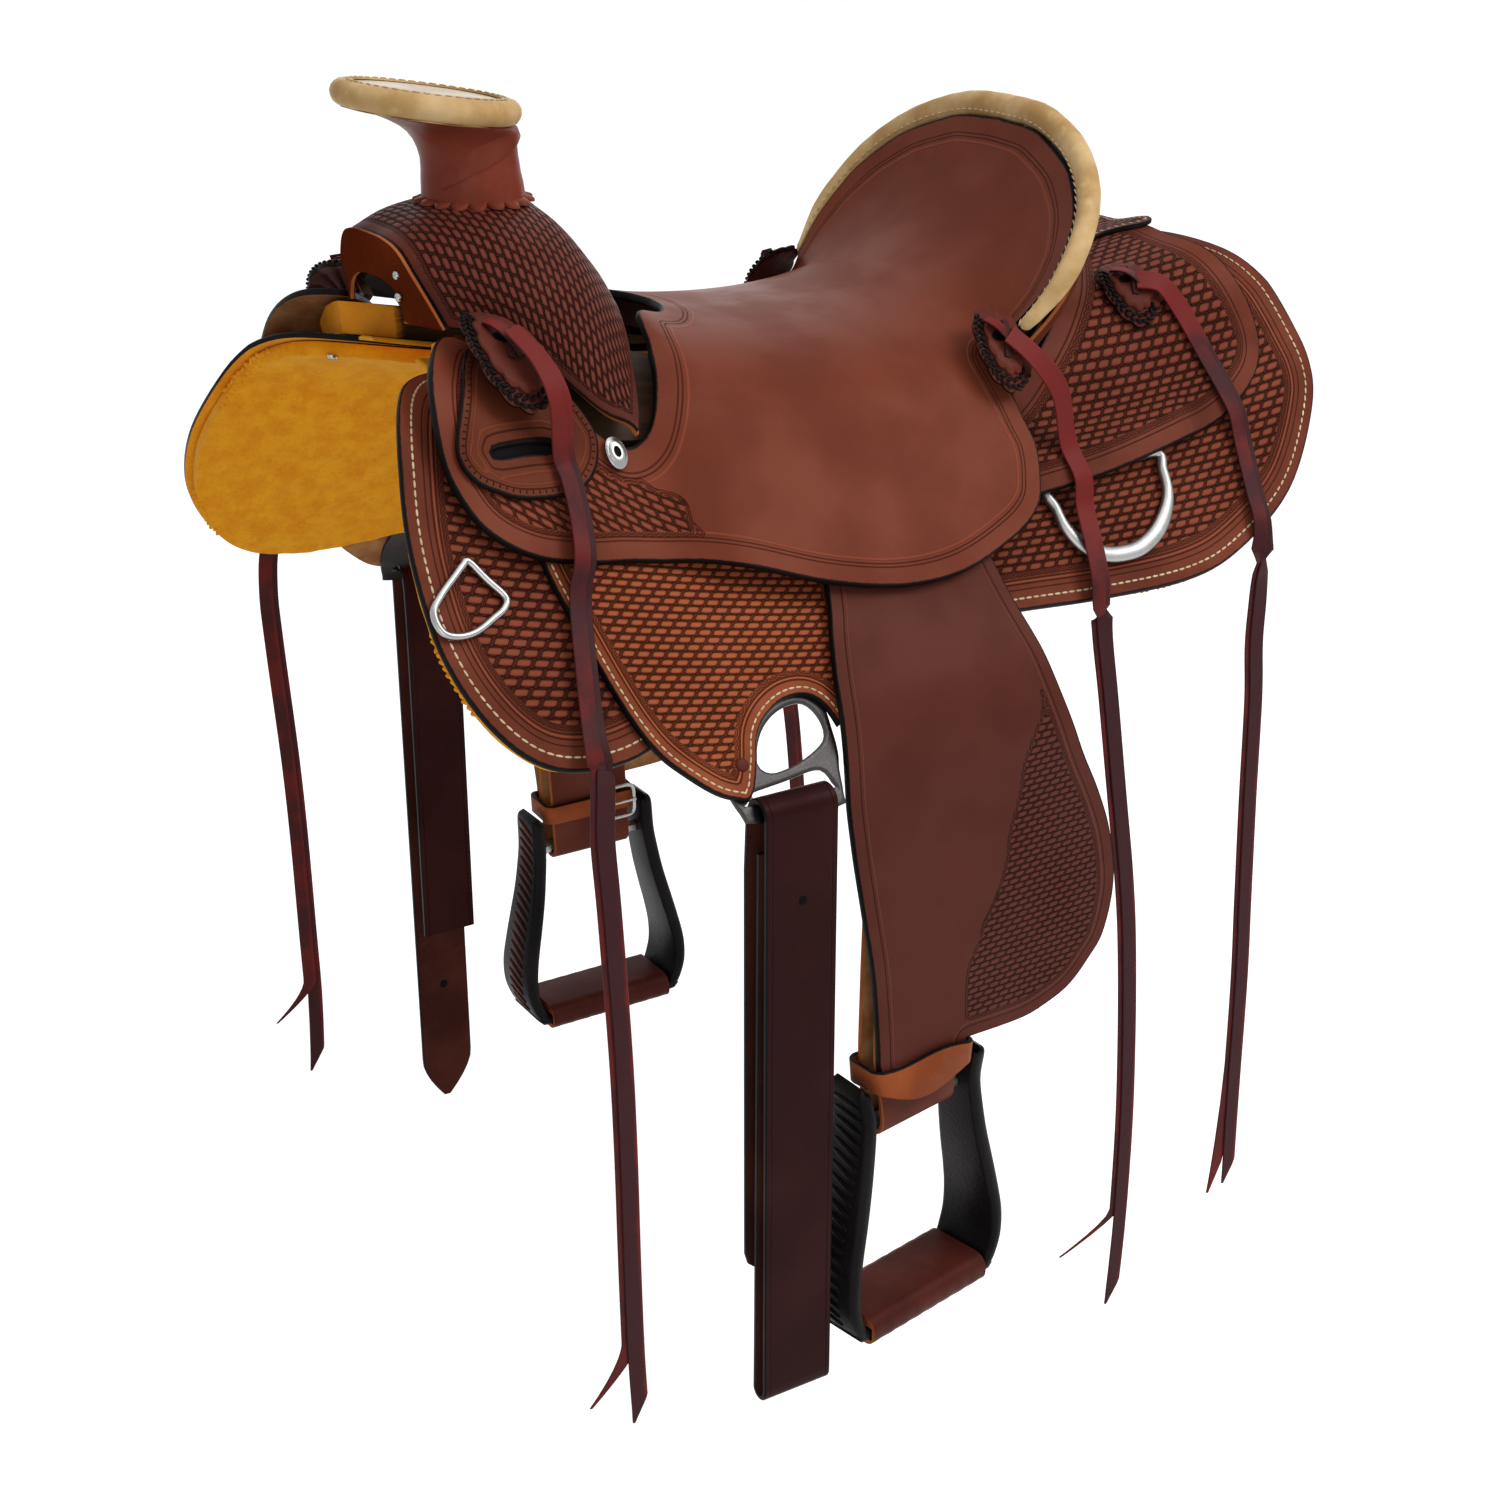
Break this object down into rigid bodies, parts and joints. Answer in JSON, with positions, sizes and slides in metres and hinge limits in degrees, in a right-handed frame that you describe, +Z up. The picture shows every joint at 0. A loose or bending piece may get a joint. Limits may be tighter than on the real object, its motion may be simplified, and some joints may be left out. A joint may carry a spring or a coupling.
{
  "type": "western ranch saddle",
  "caption": "Western ranch saddle with stamped leather skirts, wrapped horn, rawhide-bound cantle, hanging fenders and stirrups, latigo, billet and saddle strings.",
  "frame": {"origin": "on the middle plane, at the top of the rack or of the horse's back under the seat, about midway along the skirts", "axes": "+Z up, -X towards the horse's head, -Y to the horse's near (left) side, +Y to its off side"},
  "size_m": [0.6992, 0.5443, 0.8953],
  "materials": {
    "skirt_leather": "satin, basket stamped",
    "seat_leather": "satin, smooth",
    "fender_leather": "satin, smooth with a stamped panel",
    "strap_leather": "oiled",
    "tan_leather": "satin",
    "tread_leather": "rough",
    "rawhide": "satin",
    "sheepskin": "woolly",
    "tree_wood": "rawhide covered",
    "black_wood": "leather covered, satin",
    "steel": "brushed"
  },
  "bodies": {
    "saddle": {"cantle_back": "skirt_leather", "cantle_binding": "rawhide", "cantle_core": "tree_wood", "concho_near": "steel", "concho_off": "steel", "fork": "tree_wood", "ground_seat": "seat_leather", "gullet_lining": "seat_leather", "horn_cap": "seat_leather", "horn_cap_binding": "rawhide", "horn_wrap": "seat_leather", "latigo_keeper": "skirt_leather", "rear_dee_near": "steel", "rear_dee_off": "steel", "rear_jockey_near": "skirt_leather", "rear_jockey_off": "skirt_leather", "rear_joiner": "skirt_leather", "rigging_leather_near": "skirt_leather", "rigging_leather_off": "skirt_leather", "rigging_plate_near": "steel", "rigging_plate_off": "steel", "rosette_front_near": "skirt_leather", "rosette_front_off": "skirt_leather", "rosette_mid_near": "skirt_leather", "rosette_mid_off": "skirt_leather", "rosette_rear_near": "skirt_leather", "rosette_rear_off": "skirt_leather", "seat_leather": "seat_leather", "skirt_fleece_near": "sheepskin", "skirt_fleece_off": "sheepskin", "skirt_near": "skirt_leather", "skirt_off": "skirt_leather", "string_front_near": "strap_leather", "string_front_off": "strap_leather", "string_mid_near": "strap_leather", "string_mid_off": "strap_leather", "string_rear_near": "strap_leather", "string_rear_off": "strap_leather", "swell_cover": "skirt_leather", "tree_bar_near": "tree_wood", "tree_bar_off": "tree_wood"},
    "fender_near": {"fender_near": "fender_leather", "hobble_buckle_near": "steel", "hobble_strap_near": "tan_leather", "stirrup_leather_near": "fender_leather"},
    "fender_off": {"fender_off": "fender_leather", "hobble_buckle_off": "steel", "hobble_strap_off": "tan_leather", "stirrup_leather_off": "fender_leather"},
    "front_dee_near": {"front_dee_near": "steel"},
    "front_dee_off": {"front_dee_off": "steel"},
    "latigo": {"near_latigo": "strap_leather"},
    "billet": {"off_billet": "strap_leather"},
    "stirrup_near": {"stirrup_bolt_near": "steel", "stirrup_near": "black_wood", "stirrup_tread_near": "tread_leather"},
    "stirrup_off": {"stirrup_bolt_off": "steel", "stirrup_off": "black_wood", "stirrup_tread_off": "tread_leather"}
  },
  "joints": [
    {"name": "fender_swing_near", "type": "hinge", "parent": "saddle", "child": "fender_near", "pos_m": [-0.01361, -0.13743, -0.02247], "axis": [0, -0.7986, 0.6018], "range_deg": [0, 14]},
    {"name": "stirrup_hinge_near", "type": "hinge", "parent": "fender_near", "child": "stirrup_near", "pos_m": [-0.026, -0.23793, -0.4385], "axis": [0.9816, 0.1908, 0], "range_deg": [-30, 30]},
    {"name": "fender_swing_off", "type": "hinge", "parent": "saddle", "child": "fender_off", "pos_m": [0.00013, 0.13743, -0.02247], "axis": [0, -0.7986, -0.6018], "range_deg": [0, 10]},
    {"name": "stirrup_hinge_off", "type": "hinge", "parent": "fender_off", "child": "stirrup_off", "pos_m": [-0.00886, 0.23793, -0.4385], "axis": [1, 0, 0], "range_deg": [-30, 30]},
    {"name": "latigo_hinge", "type": "hinge", "parent": "saddle", "child": "latigo", "pos_m": [-0.13, -0.25709, -0.1938], "axis": [-1, 0, 0], "range_deg": [0, 60]},
    {"name": "billet_hinge", "type": "hinge", "parent": "saddle", "child": "billet", "pos_m": [-0.13, 0.25709, -0.1938], "axis": [1, 0, 0], "range_deg": [0, 60]},
    {"name": "front_dee_hinge_near", "type": "hinge", "parent": "saddle", "child": "front_dee_near", "pos_m": [-0.28175, -0.17174, -0.04894], "axis": [-0.5723, 0.3966, 0.7177], "range_deg": [0, 110]},
    {"name": "front_dee_hinge_off", "type": "hinge", "parent": "saddle", "child": "front_dee_off", "pos_m": [-0.28175, 0.17174, -0.04894], "axis": [0.5723, 0.3966, -0.7177], "range_deg": [0, 110]}
  ]
}
